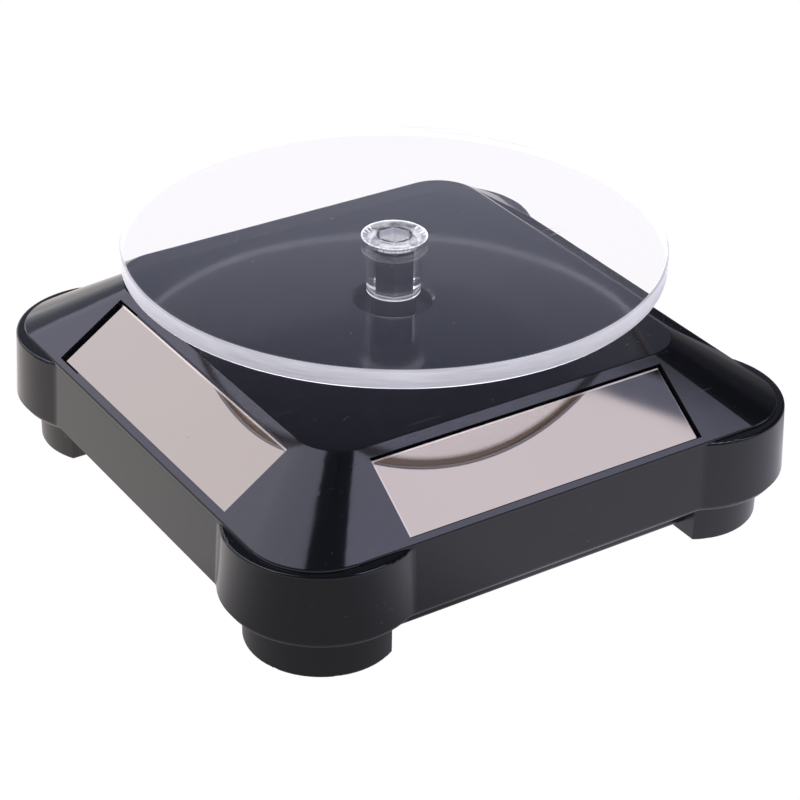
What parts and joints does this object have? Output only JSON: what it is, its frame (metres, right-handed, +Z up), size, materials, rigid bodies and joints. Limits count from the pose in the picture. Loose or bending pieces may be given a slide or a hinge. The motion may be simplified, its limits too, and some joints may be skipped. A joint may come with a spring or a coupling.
{
  "type": "turntable display stand",
  "caption": "Small square turntable display stand: solar-panelled black base with rounded corner lobes and feet, and a clear round disc that a geared motor turns.",
  "frame": {"origin": "on the floor under the centre of the disc, at the middle of the four feet", "axes": "+Z up along the disc's axis; -Y is the front side, over the battery bay, and -X is the left side; both have a solar panel"},
  "size_m": [0.1056, 0.1056, 0.045],
  "materials": {
    "housing_black": "glossy moulded black",
    "cover_black": "semi-gloss moulded black",
    "solar_cell": "mirror-like coated glass",
    "clear_disc": "clear cast acrylic, polished",
    "clear_hub": "clear moulded polystyrene",
    "spindle_plastic": "moulded black acetal",
    "brass_bush": "turned",
    "gear_plastic": "natural acetal",
    "brass_pinion": "hobbed",
    "bright_steel": "zinc plated",
    "gearbox_plastic": "moulded",
    "motor_steel": "drawn, plated",
    "cap_plastic": "moulded",
    "magnet_grey": "ferrite",
    "rotor_steel": "laminated stack",
    "cell_jacket": "printed foil, plain",
    "nickel_contact": "nickel plated",
    "board_green": "solder mask",
    "diode_glass": "glass body"
  },
  "bodies": {
    "base": {"battery_cell": "cell_jacket", "battery_contact": "nickel_contact", "battery_spring": "nickel_contact", "blocking_diode": "diode_glass", "bottom_cover": "cover_black", "circuit_board": "board_green", "cover_screws": "bright_steel", "gear_pin": "bright_steel", "gearbox_base": "gearbox_plastic", "gearbox_lid": "gearbox_plastic", "gearbox_screws": "bright_steel", "lid_screws": "bright_steel", "motor_can": "motor_steel", "motor_end_cap": "cap_plastic", "motor_magnets": "magnet_grey", "motor_screws": "bright_steel", "solar_panel_back": "solar_cell", "solar_panel_front": "solar_cell", "solar_panel_left": "solar_cell", "solar_panel_right": "solar_cell", "spindle_bush": "brass_bush", "upper_housing": "housing_black"},
    "spindle": {"drive_spindle": "spindle_plastic", "output_gear": "gear_plastic"},
    "turntable": {"turntable_disc": "clear_disc", "drive_hub": "clear_hub"},
    "second_gear": {"second_gear": "gear_plastic"},
    "first_gear": {"first_gear": "gear_plastic"},
    "motor_rotor": {"motor_rotor": "rotor_steel", "motor_pinion": "brass_pinion"},
    "battery_door": {"battery_door": "cover_black"}
  },
  "joints": [
    {"name": "turntable_spin", "type": "hinge", "parent": "base", "child": "spindle", "pos_m": [0, 0, 0.0327], "axis": [0, 0, 1], "continuous": true},
    {"name": "turntable_lift", "type": "slide", "parent": "spindle", "child": "turntable", "axis": [0, 0, 1], "range_m": [0, 0.02]},
    {"name": "second_gear_spin", "type": "hinge", "parent": "base", "child": "second_gear", "pos_m": [0.0151, 0, 0.0225], "axis": [0, 0, 1], "continuous": true},
    {"name": "first_gear_spin", "type": "hinge", "parent": "base", "child": "first_gear", "pos_m": [0, 0, 0.0205], "axis": [0, 0, 1], "continuous": true},
    {"name": "motor_spin", "type": "hinge", "parent": "base", "child": "motor_rotor", "pos_m": [-0.0151, 0, 0.012], "axis": [0, 0, 1], "continuous": true},
    {"name": "battery_door_hinge", "type": "hinge", "parent": "base", "child": "battery_door", "pos_m": [0, -0.02186, 0.0026], "axis": [1, 0, 0], "range_deg": [0, 90]}
  ],
  "couplings": [
    {"joint": "second_gear_spin", "follows": "turntable_spin", "ratio": -4},
    {"joint": "first_gear_spin", "follows": "turntable_spin", "ratio": 16},
    {"joint": "motor_spin", "follows": "turntable_spin", "ratio": -64}
  ]
}
